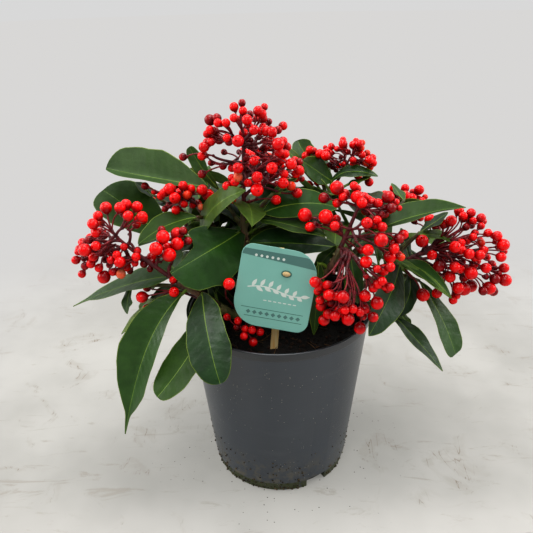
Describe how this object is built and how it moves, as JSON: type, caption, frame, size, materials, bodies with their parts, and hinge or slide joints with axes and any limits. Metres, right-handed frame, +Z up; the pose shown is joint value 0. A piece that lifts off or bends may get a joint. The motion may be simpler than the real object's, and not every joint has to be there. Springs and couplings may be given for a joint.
{
  "type": "potted skimmia shrub",
  "caption": "Evergreen skimmia with red berry clusters and leathery leaves, in a dark round nursery pot with a plain stick label.",
  "frame": {"origin": "centre of the pot's flat underside", "axes": "+Z up along the pot's axis, +X to the right and -Y towards the side with the label, as the picture sees it"},
  "size_m": [0.2905, 0.2175, 0.2688],
  "materials": {
    "pot": "dark grey moulded plastic, soft sheen, dusty foot",
    "compost": "near-black moist compost with brown fibres",
    "card": "teal printed plastic card, satin",
    "stick": "bare pale wood",
    "bark": "green-brown young bark, maroon on the flower stalks",
    "berries": "glossy bright red berries",
    "leaves": "dark green leathery leaves with yellow-green ribs and edges"
  },
  "bodies": {
    "root": {"berries_back_right": "berries", "berries_centre": "berries", "berries_centre_low": "berries", "berries_crown": "berries", "berries_front": "berries", "berries_left": "berries", "berries_left_upper": "berries", "berries_rear": "berries", "berries_rear_left": "berries", "berries_rear_right": "berries", "berries_right": "berries", "bough_back_right": "bark", "bough_centre": "bark", "bough_crown": "bark", "bough_front": "bark", "bough_left": "bark", "bough_left_upper": "bark", "bough_rear": "bark", "bough_rear_left": "bark", "bough_rear_right": "bark", "bough_right": "bark", "compost": "compost", "label_card": "card", "label_stick": "stick", "leaf_hanging_centre": "leaves", "leaf_hanging_front": "leaves", "leaf_hanging_left": "leaves", "leaf_hanging_right": "leaves", "leaf_hanging_right_low": "leaves", "leaf_over_rim": "leaves", "leaf_right_top": "leaves", "leaves_back_right": "leaves", "leaves_centre": "leaves", "leaves_crown": "leaves", "leaves_left": "leaves", "leaves_left_upper": "leaves", "leaves_rear": "leaves", "leaves_rear_left": "leaves", "leaves_rear_right": "leaves", "leaves_right": "leaves", "pot": "pot", "trunk": "bark"}
  },
  "joints": []
}
